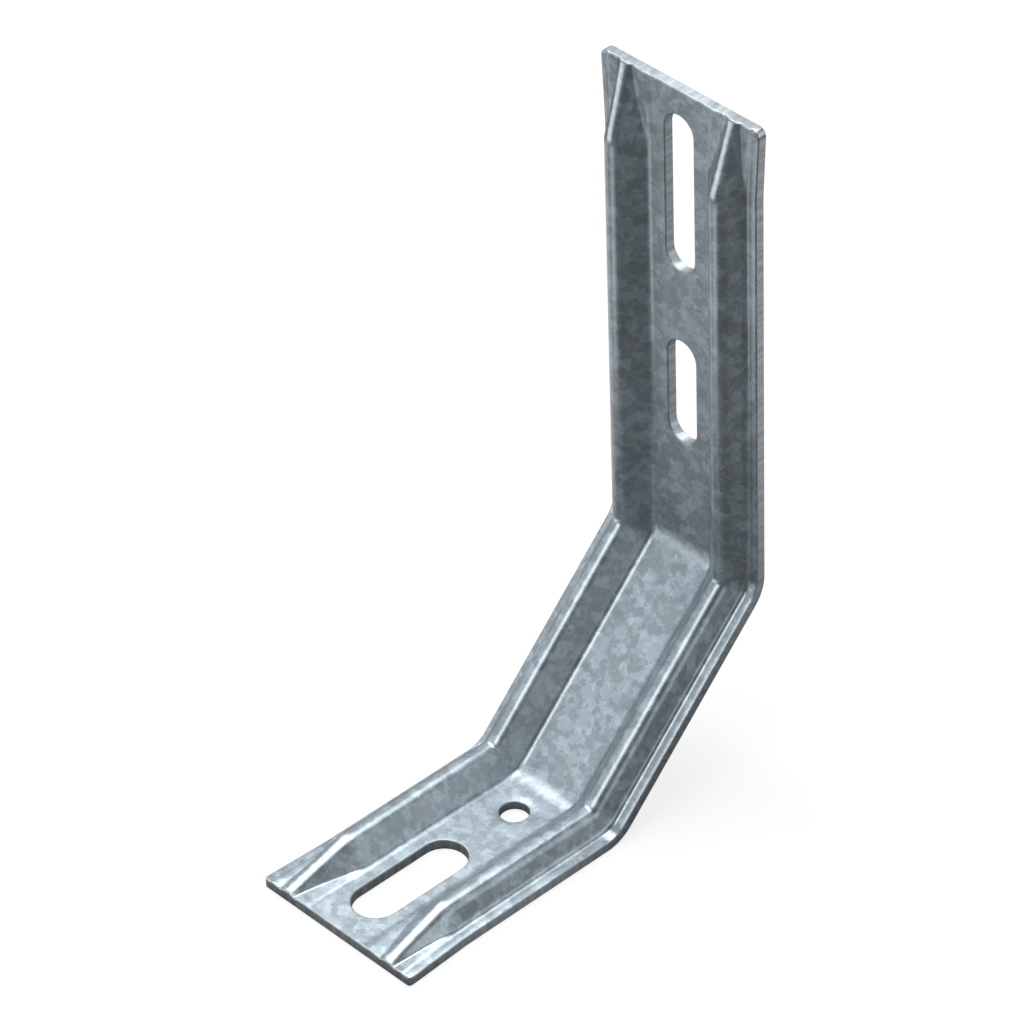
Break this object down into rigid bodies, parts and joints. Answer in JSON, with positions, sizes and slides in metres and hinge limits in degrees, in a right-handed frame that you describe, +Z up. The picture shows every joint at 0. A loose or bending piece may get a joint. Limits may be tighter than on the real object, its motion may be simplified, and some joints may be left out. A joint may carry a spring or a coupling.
{
  "type": "window frame fixing bracket",
  "caption": "Folded galvanised sheet-steel bracket with pressed ribs along its foot, brace and upright leg, slotted for fixing a window frame to a wall or floor.",
  "frame": {"origin": "middle of the foot's round hole, on the foot's underside", "axes": "+Z up along the upright leg and along the round hole, +X across the strip, -Y towards the foot's free end, so the leg's flat back faces +Y"},
  "size_m": [0.036, 0.085, 0.13],
  "materials": {
    "galvanised_steel": "hot-dip zinc with a fine mottled spangle, bare cut edges a little darker"
  },
  "bodies": {
    "root": {"bracket": "galvanised_steel"}
  },
  "joints": []
}
